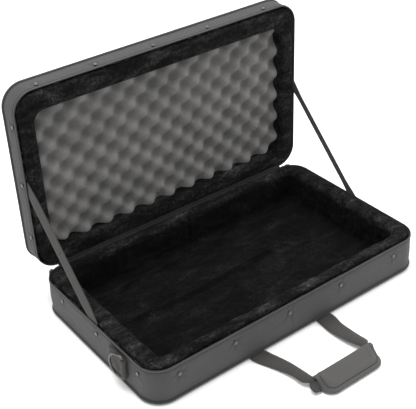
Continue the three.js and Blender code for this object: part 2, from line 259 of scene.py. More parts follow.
def plush_material():
    """Short pile, near black, lighter where it is brushed the other way; painted shade darkens it down in the
    hollow and painted light brightens the rim's top.
    """
    n = Nodes("plush")
    stretched = n.add("Mapping", Vector=n.place(), Scale=(0.45, 1.2, 1.2)).outputs[0]
    tufts = n.noise(230, 4, 0.75, distortion=0.3)
    tone = n.mix(n.noise(34, 5, 0.68, stretched, 0.5), 0.55, tufts, 0.45)
    shades = [(0.42, grey(4)), (0.50, grey(16)), (0.58, grey(36)), (0.68, grey(70, 1))]
    # painted light and shade: the colour is scaled from 0.36 down in the hollow up to 1.35 on the rim's top
    painted_rim_light_hollow_shade = n.stretch(2, (RIM - 9) * MM, (RIM + 1) * MM, 0.36, 1.35)
    normal = n.bump(n.noise(900, 2, 0.8), 0.0015, 0.9, n.bump(tufts, 0.004, 0.9))
    others = {"Sheen_Weight": 0.05, "Sheen_Roughness": 0.6, "Sheen_Tint": (*grey(150), 1)}
    others["Specular_IOR_Level"] = 0.05
    return n.done(n.times(n.ramp(tone, shades), painted_rim_light_hollow_shade), 1.0, Normal=normal, **others)


def foam_material(name, color, cells=1500, hollows=None):
    """Open-cell foam: fine pores over a slow variation of tone. hollows is (Y of the peaks, Y of the
    hollows), between which painted shade darkens the foam and painted light brightens its peaks."""
    n = Nodes(name)
    pores = n.noise(cells, 3, 0.8)
    tone = n.mix(pores, 0.6, n.noise(22, 4, 0.6), 0.4)
    tint = n.ramp(tone, [(0.36, scaled(color, 0.55)), (0.5, color), (0.66, scaled(color, 1.35))])
    if hollows:
        # painted light on the peaks and painted shade down in the hollows, by depth along Y
        shades = [(0.0, (1.4,) * 3), (0.4, (1.05,) * 3), (1.0, (0.66,) * 3)]
        tint = n.times(tint, n.ramp(n.stretch(1, *hollows), shades))
    normal = n.bump(pores, 0.0012, 0.8)
    return n.done(tint, 0.95, Normal=normal, Specular_IOR_Level=0.2, Sheen_Weight=0.2)


def metal_material(name, color, roughness):
    """Dark nickel plate with a slightly uneven polish."""
    n = Nodes(name)
    worn = n.noise(400, 4, 0.6)
    tint = n.ramp(worn, [(0.3, scaled(color, 0.7)), (0.7, scaled(color, 1.2))])
    rough = n.math("MULTIPLY_ADD", worn, 0.2, roughness - 0.1)
    return n.done(tint, rough, Normal=n.bump(worn, 0.0002, 0.4), Metallic=1.0)


def plastic_material(name, color):
    """Moulded nylon of the zip's coil."""
    n = Nodes(name)
    grain = n.noise(700, 3, 0.6)
    tint = n.ramp(grain, [(0.3, scaled(color, 0.8)), (0.7, scaled(color, 1.2))])
    return n.done(tint, 0.45, Normal=n.bump(grain, 0.0003, 0.4))


NYLON = woven("nylon", grey(48), 0.0011, 0.00035, 0.7, 0.08)
PIPING = woven("piping", grey(27), 0.0009, 0.0003, 0.6, 0.06)
TAPE = woven("zip_tape", grey(58), 0.0008, 0.0002, 0.75, 0.08)
WEBBING = woven("webbing", grey(41, 2), 0.0016, 0.0005, 0.75, 0.08, ribs=True)
GRIP = woven("grip_cloth", grey(62, 1), 0.0012, 0.0004, 0.72, 0.1)
SEAM = woven("seam", grey(10), 0.0006, 0.0002, 0.8, 0.02)
THREAD = woven("thread", grey(22), 0.0006, 0.0002, 0.7, 0.05)
PLUSH = plush_material()
# the last argument spans the painted light and shade of the foam's peaks and hollows
EGG_FOAM = foam_material("egg_foam", grey(90, 1), 1500, (EGG_LOW[1] * MM, (EGG_LOW[1] + 16) * MM))
CORE_FOAM = foam_material("core_foam", grey(26), 900)
RIVET_METAL = metal_material("rivet_metal", grey(128, 3), 0.3)
RING_METAL = metal_material("ring_metal", grey(92, 3), 0.26)
SLIDER_METAL = metal_material("slider_metal", grey(120, 3), 0.34)
COIL = plastic_material("coil", grey(22))


# ---- mesh helpers

def piece(name, verts, faces, material, body, nodes=(), uvs=None, smooth=True):
    """One object, from vertices in millimetres, riding on a CAD body and standing for `nodes`."""
    mesh = bpy.data.meshes.new(name)
    mesh.from_pydata((np.asarray(verts, float) * MM).tolist(), [], [list(f) for f in faces])
    if uvs is not None:
        layer = mesh.uv_layers.new(name="weave")
        layer.data.foreach_set("uv", (np.asarray(uvs, float) * MM).ravel())
    mesh.polygons.foreach_set("use_smooth", [smooth] * len(mesh.polygons))
    mesh.materials.append(material)
    mesh.validate()
    obj = bpy.data.objects.new(name, mesh)
    bpy.context.scene.collection.objects.link(obj)
    if body:
        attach(obj, body)
    if nodes:
        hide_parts(*nodes)
    return obj


def unit(vectors):
    return vectors / np.maximum(np.linalg.norm(vectors, axis=-1, keepdims=True), 1e-9)


def run_length(points):
    """The distance along a polyline to each of its points."""
    return np.concatenate([[0], np.cumsum(np.linalg.norm(np.diff(points, axis=0), axis=1))])


def at_height(points, z):
    return np.column_stack([points, np.full(len(points), z)])


def turn_angles(count):
    return np.linspace(0, 2 * math.pi, count, endpoint=False)


def grid_mesh(grid, closed_rows=False, closed_columns=True, caps=True, uv=None):
    """Vertices, faces and UV corners of a grid of points, shaped (rows, columns, 3)."""
    rows, columns = grid.shape[:2]
    if uv is None:
        uv = arc_uv(grid, closed_rows, closed_columns)
    faces, corners = [], []
    for r in range(rows if closed_rows else rows - 1):
        for c in range(columns if closed_columns else columns - 1):
            r1, c1 = (r + 1) % rows, (c + 1) % columns
            faces.append((r * columns + c, r * columns + c1, r1 * columns + c1, r1 * columns + c))
            corners += [uv[r, c], uv[r, c + 1], uv[r + 1, c + 1], uv[r + 1, c]]
    if caps and closed_columns and not closed_rows:
        for row, order in ((0, -1), (rows - 1, 1)):
            ring = [row * columns + c for c in range(columns)][::order]
            faces.append(ring)
            corners += [grid[row, i % columns][:2] for i in ring]
    return grid.reshape(-1, 3), faces, corners


def arc_uv(grid, closed_rows, closed_columns):
    """UVs in millimetres: the distance along the middle row, and the mean distance from row to row."""
    ring = grid[len(grid) // 2]
    around = np.vstack([ring, ring[:1]]) if closed_columns else ring
    u = run_length(around)
    lines = np.concatenate([grid, grid[:1]]) if closed_rows else grid
    v = np.concatenate([[0], np.cumsum(np.linalg.norm(np.diff(lines, axis=0), axis=2).mean(axis=1))])
    return np.stack(np.meshgrid(u, v), axis=-1)


def grid_piece(name, grid, material, body, nodes=(), closed_rows=False, closed_columns=True, caps=True,
               uv=None, smooth=True):
    verts, faces, corners = grid_mesh(grid, closed_rows, closed_columns, caps, uv)
    return piece(name, verts, faces, material, body, nodes, corners, smooth)


def mesh_piece(name, mesh, material, body, nodes=(), woven_on=False):
    """A piece from (vertices, faces, corners); the corners are kept for woven materials only."""
    verts, faces, corners = mesh
    return piece(name, verts, faces, material, body, nodes, corners if woven_on else None)


def slab(top, bottom):
    """A solid between two matching grids of points, closed round their edge."""
    rows, columns = top.shape[:2]
    total = rows * columns
    faces = []
    for r in range(rows - 1):
        for c in range(columns - 1):
            a, b = r * columns + c, r * columns + c + 1
            d, e = a + columns, b + columns
            faces.append((a, b, e, d))
            faces.append((total + a, total + d, total + e, total + b))
    number = np.arange(total).reshape(rows, columns)
    rim = [*number[0], *number[1:, -1], *number[-1, -2::-1], *number[-2:0:-1, 0]]
    for a, b in zip(rim, rim[1:] + rim[:1]):
        faces.append((a, total + a, total + b, b))
    return np.vstack([top.reshape(-1, 3), bottom.reshape(-1, 3)]), faces


def join_meshes(parts):
    """Several (vertices, faces, corners) as one."""
    verts, faces, corners, offset = [], [], [], 0
    for v, f, c in parts:
        verts.append(np.asarray(v, float))
        faces += [tuple(i + offset for i in face) for face in f]
        corners += list(c)
        offset += len(v)
    return np.vstack(verts), faces, corners


def outline(half, y0, y1, radius, step=STEP):
    """Points and outward normals round a rectangle with round corners, from the front left corner.
    Two outlines made with one step match point for point."""
    straight = [round(2 * (HALF - RADIUS) / step), round((DEPTH - 2 * RADIUS) / step)]
    turn = max(3, round(RADIUS * math.pi / 2 / step))
    centres = [(-half + radius, y0 + radius), (half - radius, y0 + radius)]
    centres += [(half - radius, y1 - radius), (-half + radius, y1 - radius)]
    points, normals = [], []
    for side in range(4):
        angle = math.radians(90 * side - 90)
        normal = np.array([math.cos(angle), math.sin(angle)])
        start = np.array(centres[side]) + radius * normal
        end = np.array(centres[(side + 1) % 4]) + radius * normal
        count = straight[side % 2]
        for i in range(count):
            points.append(start + (end - start) * i / count)
            normals.append(normal)
        for i in range(turn):
            swing = angle + math.pi / 2 * i / turn
            normal = np.array([math.cos(swing), math.sin(swing)])
            points.append(np.array(centres[(side + 1) % 4]) + radius * normal)
            normals.append(normal)
    return np.array(points), np.array(normals)


def case_ring(inset, z, y0=FRONT, y1=BACK, step=STEP):
    """A ring set in from the case's outside face by `inset`."""
    points, _ = outline(HALF - inset, y0 + inset, y1 - inset, max(RADIUS - inset, 6.0), step)
    return at_height(points, z)


def case_sweep(profile, y0=FRONT, y1=BACK, step=STEP):
    return np.array([case_ring(inset, z, y0, y1, step) for inset, z in profile])


def to_open(grid):
    """From the shut lid's coordinates, on the hinge line, to where the open lid stands."""
    opened = np.array(grid, float)
    opened[..., 1] = BACK + grid[..., 2]
    opened[..., 2] = RIM - grid[..., 1]
    return opened


def smoothstep(value, low, high):
    t = np.clip((np.asarray(value, float) - low) / (high - low), 0, 1)
    return t * t * (3 - 2 * t)


def rough(points, size, seed=0.0):
    """Smooth noise, about -1 to 1, at points in millimetres, with features of `size`."""
    flat = np.asarray(points, float).reshape(-1, 3)
    values = [noise.noise(Vector(p) / size + Vector((seed, seed * 1.7, -seed))) for p in flat]
    return np.array(values).reshape(np.shape(points)[:-1])


def normals_of(grid, closed_rows, closed_columns):
    """Unit normals of a grid's points."""
    def slope(axis, closed):
        if closed:
            return np.roll(grid, -1, axis) - np.roll(grid, 1, axis)
        return np.gradient(grid, axis=axis)
    normal = np.cross(slope(1, closed_columns), slope(0, closed_rows))
    return unit(normal)


def rounded_profile(points, radius, arc=3):
    """A polyline's points with each inner corner replaced by a short curve."""
    points = [np.array(p, float) for p in points]
    result = [points[0]]
    for before, corner, after in zip(points, points[1:], points[2:]):
        a, b = before - corner, after - corner
        cut = min(radius, np.linalg.norm(a) / 2, np.linalg.norm(b) / 2)
        start = corner + unit(a) * cut
        end = corner + unit(b) * cut
        for i in range(arc + 1):
            t = i / arc
            result.append((1 - t) ** 2 * start + 2 * t * (1 - t) * corner + t * t * end)
    result.append(points[-1])
    return np.array(result)


def resampled(points, step):
    """A polyline's points, spaced evenly."""
    points = np.asarray(points, float)
    length = run_length(points)
    places = np.linspace(0, length[-1], max(2, round(length[-1] / step) + 1))
    return np.column_stack([np.interp(places, length, points[:, i]) for i in range(points.shape[1])])


def smooth_path(points, step):
    """A Catmull-Rom curve through control rows of any width, spaced evenly in its first three columns."""
    p = np.asarray(points, float)
    p = np.vstack([2 * p[0] - p[1], p, 2 * p[-1] - p[-2]])
    fine = []
    for i in range(1, len(p) - 2):
        for t in np.linspace(0, 1, 16, endpoint=False):
            a, b, c, d = p[i - 1], p[i], p[i + 1], p[i + 2]
            fine.append(0.5 * (2 * b + (c - a) * t + (2 * a - 5 * b + 4 * c - d) * t ** 2
                               + (3 * b - a - 3 * c + d) * t ** 3))
    fine.append(p[-2])
    fine = np.array(fine)
    length = run_length(fine[:, :3])
    places = np.linspace(0, length[-1], max(2, round(length[-1] / step) + 1))
    return np.column_stack([np.interp(places, length, fine[:, i]) for i in range(fine.shape[1])])


# ---- covers

def rivet_centres(part):
    """Centre of each rivet node of the base or the lid, in the row frame."""
    centres = {}
    for node in sorted(frame["nodes"]):
        if node.startswith(part + "_rivet"):
            low, high = box_mm(node)
            centres[node] = (low + high) / 2
    return centres


def pucker(grid, normal, centres, depth=2.3, size=6.5):
    """Pulls the cloth in round each rivet, with small folds fanning out from it."""
    for centre in centres:
        away = grid - centre
        flat = away - (away * normal).sum(-1, keepdims=True) * normal
        distance = np.linalg.norm(flat, axis=-1)
        near = (distance < 26) & (np.abs((away * normal).sum(-1)) < 8)
        height = flat[..., 2]
        side = np.sqrt(np.maximum(distance ** 2 - height ** 2, 0)) * np.sign(flat[..., 0] + flat[..., 1])
        angle = np.arctan2(height, side)
        folds = 0.7 * np.cos(5 * angle + centre[0]) * np.exp(-((distance - 9) / 6) ** 2)
        drop = depth * np.exp(-(distance / size) ** 2) + folds
        grid = grid - np.where(near, drop, 0)[..., None] * normal
    return grid


SEAM_X = -13.0  # upright seam in the middle of the front panel


def planar_below(uv, grid, inset_rows):
    """Lays flat panels' weave out square instead of round the rim."""
    columns = grid.shape[1]
    for row in inset_rows:
        uv[row, :columns] = grid[row][:, :2]
        uv[row, columns] = grid[row][0, :2]
    return uv


def base_cover():
    """Nylon over the base's walls, with a soft swell between its seams, and the flat underside."""
    bottom = [(172, 0.0), (120, 0.0), (60, 0.0), (30, 0.0), (9, 0.0), (3.0, 0.0)]
    wall = [(1.6, 3.0), (0.9, 8), (0.2, 20), (-0.4, 34), (0.2, 48), (0.9, 60), (1.6, TAPE_LOW - 1.0)]
    wall = resampled(wall, STEP).tolist()
    top = [(1.8, TAPE_LOW + 0.3), (2.1, TAPE_LOW - 0.4), (2.2, 60), (2.6, 5.0)]
    inside = [(9, 2.4), (60, 2.4), (172, 2.4)]
    profile = bottom + wall + top + inside
    grid = case_sweep(profile)
    first, last = len(bottom), len(bottom) + len(wall)
    _, around = outline(HALF, FRONT, BACK, RADIUS)
    normal = np.column_stack([around, np.zeros(len(around))])
    side = grid[first:last]
    swell = rough(side, 70, 3.0) * 1.0 + rough(side, 22, 8.0) * 0.35
    fade = smoothstep(side[..., 2], 2, 14) * (1 - smoothstep(side[..., 2], 56, 66))
    side = side + (swell * fade)[..., None] * normal
    seam = (np.abs(side[..., 0] - SEAM_X) < 12) & (side[..., 1] < FRONT + 20) & (side[..., 2] < 52)
    groove = 0.9 * np.exp(-((side[..., 0] - SEAM_X) / 1.8) ** 2)
    side = side - np.where(seam, groove, 0)[..., None] * normal
    grid[first:last] = pucker(side, normal, rivet_centres("base").values())
    uv = arc_uv(grid, False, True)
    uv = planar_below(uv, grid, list(range(first - 1)) + list(range(last + 4, len(profile))))
    return grid_piece("base_cover_cloth", grid, NYLON, "base", ["base_cover"], uv=uv)


def lid_cover():
    """Nylon over the lid's walls and outer face."""
    edge = LID_THICK
    wall = [(1.6, 6.2), (0.8, 12), (0.0, 22), (0.6, 32), (1.4, edge - 3)]
    wall = resampled(wall, STEP).tolist()
    face = [(3.0, edge - 0.6), (6, edge), (14, edge + 0.3), (40, edge + 0.3), (90, edge), (150, edge)]
    face.append((172, edge))
    inside = [(172, edge - 2.4), (8, edge - 2.4), (2.6, edge - 5), (2.2, 9), (2.1, 5.8), (1.8, 5.4)]
    profile = inside + wall + face
    grid = np.array([case_ring(inset, z, -DEPTH, 0.0) for inset, z in profile])
    first, last = len(inside), len(inside) + len(wall)
    _, around = outline(HALF, -DEPTH, 0.0, RADIUS)
    normal = np.column_stack([around, np.zeros(len(around))])
    side = grid[first:last]
    swell = rough(side, 60, 5.0) * 0.8 + rough(side, 20, 9.0) * 0.3
    fade = smoothstep(side[..., 2], 6, 12) * (1 - smoothstep(side[..., 2], edge - 10, edge - 3))
    side = side + (swell * fade)[..., None] * normal
    opened_normal = to_open(normal) - np.array([0, BACK, RIM])
    opened = pucker(to_open(side), opened_normal, rivet_centres("lid").values())
    uv = arc_uv(grid, False, True)
    uv = planar_below(uv, grid, [0, 1] + list(range(last + 1, len(profile))))
    grid = to_open(grid)
    grid[first:last] = opened
    return grid_piece("lid_cover_cloth", grid, NYLON, "lid", ["lid_cover"], uv=uv)


base_cover()
lid_cover()


# ---- piping, zip tape and coil

def ring_profile(inset, z, across, up, points=10):
    """A closed oval section round (inset, z)."""
    angles = turn_angles(points)
    return [(inset + across * math.cos(a), z + up * math.sin(a)) for a in angles]


def swept_ring(name, profile, material, body, nodes=(), lid=False, step=STEP, ribs=None):
    """A closed section swept round the case. ribs is (pitch, height) of a toothed surface."""
    y0, y1 = (-DEPTH, 0.0) if lid else (FRONT, BACK)
    grid = case_sweep(profile[::-1], y0, y1, step)
    if ribs:
        pitch, height = ribs
        centre = grid.mean(axis=0)
        along = run_length(centre)
        swell = 1 + height * np.sin(2 * math.pi * along / pitch)
        grid = centre + (grid - centre) * swell[None, :, None]
    if lid:
        grid = to_open(grid)
    return grid_piece(name, grid, material, body, nodes, closed_rows=True)


COIL_STEP = 0.9


def piping():
    """Bound cord along the base's bottom edge and the lid's outer edge, each with a flat lip."""
    cord = [(-1.6, 3.4), (-1.7, 4.8), (-1.0, 6.2), (0.2, 6.9), (1.6, 7.4), (2.6, 7.6), (2.8, 4.0)]
    cord += [(2.4, 1.4), (1.2, 1.0), (0.0, 1.2), (-1.0, 2.0)]
    swept_ring("base_piping", cord, PIPING, "base", ["base_bottom_piping"])
    edge = LID_THICK
    flipped = [(inset, edge + 0.9 - z) for inset, z in cord][::-1]
    swept_ring("lid_piping", flipped, PIPING, "lid", ["lid_outer_piping"], lid=True)


def zips():
    """Along each rim: a bound seam, a flat band of tape, and the coil along its edge."""
    low, top = TAPE_LOW, RIM
    seam = ring_profile(1.2, low - 0.2, 1.2, 1.0)
    tape = [(2.2, low), (0.6, low), (0.2, (low + top) / 2), (0.5, top - 1.4), (1.2, top - 1.0)]
    tape += [(2.4, top - 2.6), (2.2, low)]
    tape = rounded_profile(tape, 0.5, 2)[:-1]
    coil = ring_profile(1.7, top - 1.1, 1.0, 0.75, 8)
    swept_ring("base_rim_seam", seam, SEAM, "base")
    swept_ring("base_zip_tape", tape, TAPE, "base", ["base_zipper_tape"])
    swept_ring("base_zip_coil", coil, COIL, "base", step=COIL_STEP, ribs=(COIL_STEP * 4, 0.28))
    mirrored = [[(inset, RIM - z) for inset, z in part][::-1] for part in (seam, tape, coil)]
    swept_ring("lid_rim_seam", mirrored[0], SEAM, "lid", lid=True)
    swept_ring("lid_zip_tape", mirrored[1], TAPE, "lid", ["lid_zipper_tape"], lid=True)
    swept_ring("lid_zip_coil", mirrored[2], COIL, "lid", lid=True, step=COIL_STEP,
               ribs=(COIL_STEP * 4, 0.28))


piping()
zips()


# ---- plush linings

PLUSH_STEP = 2.6


def blend_rings(share, z, half_in, front_in, back_in, radius_in, y0, y1):
    """A ring between the slit's inner side (share 0) and the hollow's wall (share 1), and past it."""
    inset = SLIT_INNER
    outer, _ = outline(HALF - inset, y0 + inset, y1 - inset, RADIUS - inset, PLUSH_STEP)
    inner, _ = outline(half_in, front_in, back_in, radius_in, PLUSH_STEP)
    points = outer + (inner - outer) * share
    return at_height(points, z)


def tufted(grid, height, closed_rows=True, fine=4.0):
    """Raises a plush surface into uneven tufts."""
    normal = normals_of(grid, closed_rows, True)
    lift = rough(grid, fine, 1.0) * 0.6 + rough(grid, 11.0, 4.0) * 0.8 + rough(grid, 34.0, 7.0) * 0.7
    return grid + normal * (lift * height)[..., None]


BACK_SEAM_X = 4.0  # upright seam in the plush of the back wall


def base_plush():
    """The lining of the base: a rolled rim, the walls inside it and the floor under the pad."""
    side = HALF - WALL_SIDE
    front, back = FRONT + WALL_END, BACK - WALL_END
    crown = RIM + 4.2
    section = [(-0.012, RIM - 12), (-0.012, RIM - 3), (0.04, RIM + 1.5), (0.16, crown - 0.6), (0.4, crown)]
    section += [(0.7, crown - 0.4), (0.9, RIM + 1.6), (1.0, RIM - 4), (1.03, RIM - 18), (1.03, 30)]
    section.append((1.02, 14))
    section = resampled(np.array(section) * [30, 1], PLUSH_STEP) / [30, 1]
    rings = [blend_rings(share, z, side, front, back, INNER_RADIUS, FRONT, BACK) for share, z in section]
    spread = [4, 30, 70, 110, 138]
    floor_rings = [(inset, FLOOR + 2.2) for inset in spread] + [(spread[-1], FLOOR), (spread[0], FLOOR)]
    for inset, z in floor_rings:
        radius = max(INNER_RADIUS - inset, 3)
        points, _ = outline(side - inset, front + inset, back - inset, radius, PLUSH_STEP)
        rings.append(at_height(points, z))
    for share, z in [(0.93, 14), (0.9, RIM - 14), (0.1, RIM - 12)]:
        rings.append(blend_rings(share, z, side, front, back, INNER_RADIUS, FRONT, BACK))
    grid = np.array(rings)
    shown = len(section)
    grid[1:shown] = tufted(grid, 2.0)[1:shown]
    wall = grid[1:shown]
    on_seam = (wall[..., 1] > back - 12) & (wall[..., 2] < RIM)
    groove = 2.6 * np.exp(-((wall[..., 0] - BACK_SEAM_X) / 2.6) ** 2)
    grid[1:shown, :, 1] += np.where(on_seam, groove, 0)
    uv = arc_uv(grid, True, True)
    lining = grid_piece("base_plush_lining", grid, PLUSH, "base", ["base_lining"],
                        closed_rows=True, uv=uv)
    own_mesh(lining)


def lid_plush():
    """The plush frame in the lid, from its rolled rim down to the recess that holds the foam."""
    side = EGG_HIGH[0] + 0.5
    near = -(EGG_LOW[2] - RIM) + 0.5
    far = -(EGG_HIGH[2] - RIM) - 0.5
    depth = EGG_HIGH[1] - BACK
    section = [(-0.012, 12), (-0.012, 3), (0.05, -1.0), (0.2, -2.6), (0.55, -2.6), (0.88, -1.4), (1.0, 1.6)]
    section += [(1.05, 5.0), (1.06, 10), (1.08, 18), (1.1, depth - 4), (1.3, depth - 1.6), (2.1, depth - 1.2)]
    section = resampled(np.array(section) * [30, 1], PLUSH_STEP) / [30, 1]
    hidden = [(2.1, depth - 0.4), (0.9, depth - 0.4), (0.85, 14), (0.1, 12)]
    rings = [blend_rings(share, z, side, far, near, 22.0, -DEPTH, 0.0) for share, z in [*section, *hidden]]
    grid = np.array(rings)[::-1]
    shown = len(hidden)
    grid[shown + 26:] = tufted(grid, 1.3)[shown + 26:]
    frame_cloth = grid_piece("lid_plush_frame", to_open(grid), PLUSH, "lid", ["lid_lining"],
                             closed_rows=True)
    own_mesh(frame_cloth)


base_plush()
lid_plush()


# ---- convoluted foam

EGG_PITCH = 47.0  # peak to peak along a row; the next row is half a pitch on and half a pitch up
EGG_SWING = 7.0
EGG_STEP = 2.6


def egg_foam():
    """A pad of convoluted foam: peaks and hollows in offset rows, with wavy cut edges."""
    width = EGG_HIGH[0] - EGG_LOW[0]
    tall = EGG_HIGH[2] - EGG_LOW[2]
    columns, rows = round(width / EGG_STEP), round(tall / EGG_STEP)
    q, p = np.meshgrid(np.linspace(-1, 1, columns), np.linspace(-1, 1, rows))
    # a square grid drawn out to round corners
    corner = 1 - 0.035 * smoothstep(np.abs(q * p), 0.72, 1.0)
    x = q * width / 2 * corner
    z = (EGG_LOW[2] + EGG_HIGH[2]) / 2 + p * tall / 2 * (1 - 0.07 * smoothstep(np.abs(q * p), 0.72, 1.0))
    phase_x, phase_z = x + 26.3, z - 230.0
    wave = np.cos(2 * math.pi * phase_x / EGG_PITCH) * np.cos(2 * math.pi * phase_z / EGG_PITCH)
    shaped = np.sign(wave) * np.abs(wave) ** 0.85
    edge = np.maximum(np.abs(q), np.abs(p))
    drop = 3.0 * smoothstep(edge, 0.965, 1.0)
    # the cut edge bulges out at peaks and in at hollows
    x = x + np.sign(q) * (2.2 * wave + 2.2) * smoothstep(np.abs(q), 0.93, 1.0)
    z = z + np.sign(p) * (2.4 * wave + 1.6) * smoothstep(np.abs(p), 0.88, 1.0)
    face = EGG_LOW[1] + EGG_SWING - 1.0 - EGG_SWING * shaped + drop
    pores = rough(np.stack([x, face, z], -1), 5.0, 2.0) * 0.35
    front = np.stack([x, face + pores, z], -1)
    back = front.copy()
    back[..., 1] = EGG_HIGH[1]
    verts, faces = slab(front, back)
    pad = piece("egg_crate_foam", verts, faces, EGG_FOAM, "lid", ["lid_convoluted_foam"])


egg_foam()


# ---- floor pad

def floor_pad():
    """The loose plush pad on the base's floor, with a fold raised along it and a rolled back lip."""
    low, high = box_mm("base_floor_pad")
    step = 2.8
    columns, rows = round((high[0] - low[0]) / step), round((high[1] - low[1]) / step)
    x, y = np.meshgrid(np.linspace(low[0], high[0], columns), np.linspace(low[1], high[1], rows))
    edge = np.minimum.reduce([x - low[0], high[0] - x, y - low[1], high[1] - y])
    along = smoothstep(x, low[0] + 8, low[0] + 70) * (1 - smoothstep(x, high[0] - 60, high[0] - 8))
    ridge_y = 15 + 3.5 * np.sin(x / 60)
    ridge = 9.0 * np.exp(-((y - ridge_y) / 5.5) ** 2) * along
    lip = 8.0 * np.exp(-((y - high[1] + 9) / 7) ** 2) * (0.35 + 0.65 * smoothstep(x, -220, -60))
    level = np.stack([x, y, x * 0], -1)
    waves = 1.2 * rough(level, 60, 2.0) + 1.3 * rough(level, 14, 5.0)
    tufts = 0.9 * rough(level, 4.5, 9.0)
    body = low[2] + 3.0 + 2.2 * smoothstep(edge, 0, 10)
    top = np.stack([x, y, body + ridge + lip + (waves + tufts) * smoothstep(edge, 0, 8)], -1)
    bottom = np.stack([x, y, np.full_like(x, low[2])], -1)
    verts, faces = slab(top, bottom)
    pad = piece("floor_pad_plush", verts, faces, PLUSH, "base", ["base_floor_pad"])


floor_pad()


# ---- webbing

def ribbon(stations, thickness=2.2, step=3.0, arch=0.0, lip=0.35):
    """Flat webbing along control rows of centre (3), direction across (3) and width (1).
    Its section is a thin slab with round edges; arch lifts its middle."""
    path = smooth_path(stations, step)
    centre, across, width = path[:, :3], path[:, 3:6], path[:, 6]
    arches = path[:, 7] if path.shape[1] > 7 else np.full(len(path), arch)
    across = unit(across)
    tangent = np.gradient(centre, axis=0)
    tangent = unit(tangent)
    normal = np.cross(tangent, across)
    normal = unit(normal)
    half = thickness / 2
    spread = np.linspace(-1, 1, 9)
    upper = [(s, half * (1 - lip * abs(s) ** 6)) for s in spread]
    lower = [(s, -half * (1 - lip * abs(s) ** 6)) for s in spread[::-1]]
    section = np.array(upper + lower)
    rows = []
    for i in range(len(path)):
        bow = arches[i] * (1 - section[:, 0] ** 2)
        rows.append(centre[i] + np.outer(section[:, 0] * width[i] / 2, across[i])
                    + np.outer(section[:, 1] + bow, normal[i]))
    grid = np.array(rows)
    u = np.concatenate([section[:, 0], section[:1, 0]]) * 16
    v = run_length(centre)
    uv = np.stack(np.meshgrid(u, v), axis=-1)[..., ::-1]
    return grid_mesh(grid, uv=uv)


def ribbon_piece(name, stations, body, slot="webbing", nodes=(), material=None, **options):
    return mesh_piece(name, ribbon(stations, **options), material or WEBBING, body, nodes, True)


def stitches(name, paths, body, up, length=2.6, pitch=3.6, radius=0.42):
    """Rows of thread stitches along polylines, each a small bead standing just proud."""
    up = np.array(up, float)
    parts = []
    for path in paths:
        path = resampled(path, pitch)
        for a, b in zip(path, path[1:]):
            ahead = unit(b - a)
            side = np.cross(up, ahead)
            side = unit(side)
            lift = np.cross(ahead, side)
            middle = (a + b) / 2
            rings = []
            for t, size in ((-1, 0.35), (-0.55, 1.0), (0.55, 1.0), (1, 0.35)):
                centre = middle + ahead * t * length / 2
                angles = turn_angles(6)
                wide = radius * size
                rings.append([centre + wide * (math.cos(w) * side + math.sin(w) * lift) for w in angles])
            parts.append(grid_mesh(np.array(rings)))
    return mesh_piece(name, join_meshes(parts), THREAD, body, woven_on=True)


def boxed_cross(a, b, c, d):
    """Stitch lines round the four corners a, b, c, d and across both diagonals."""
    return [np.array([a, b, c, d, a, c]), np.array([b, d])]


def stays():
    """Each stay's two halves, turned a little on edge along their length and flat at their ends, each riding
    on its stay's body.
    """
    hinge = np.array([BACK, RIM])
    reach = BACK
    low = np.array([hinge[0] - reach, RIM])
    high = np.array([hinge[0], RIM + reach])
    along = unit(high - low)
    middle = (low + high) / 2
    for side, sign in (("left", -1), ("right", 1)):
        x = sign * (HALF - SLIT_INNER + 2.5)
        twist = math.radians(14.5)
        flat = np.array([0, -along[1], along[0]])
        turned = np.array([-sign * math.sin(twist), -along[1] * math.cos(twist), along[0] * math.cos(twist)])

        def row(point, across, width=20.0):
            return [x, point[0], point[1], *across, width]

        start, end = low - along * 9, high + along * 9
        easing = flat * 0.6 + turned * 0.4
        lower = [row(start, flat), row(low + along * 6, easing), row(low + along * 30, turned)]
        lower += [row((low + middle) / 2, turned), row(middle, turned)]
        upper = [row(middle, turned), row((middle + high) / 2, turned), row(high - along * 30, turned)]
        upper += [row(high - along * 6, easing), row(end, flat)]
        for part, stations, flat_x in (("lower", lower, x - sign * 1.1), ("upper", upper, x + sign * 1.1)):
            node = f"stay_{part}_{side}"
            strap = ribbon_piece(f"{node}_webbing", stations, node, nodes=[node], thickness=1.5)
            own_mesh(strap)


stays()


# ---- handles

PIVOT_Y = FRONT - 3.5
LEGS = [np.mean(box_mm(f"handle_anchor_{side}"), axis=0)[0] for side in ("left", "right")]
WRAP_LOW, WRAP_HIGH = box_mm("handle_wrap")
ACROSS = (1, 0, 0)


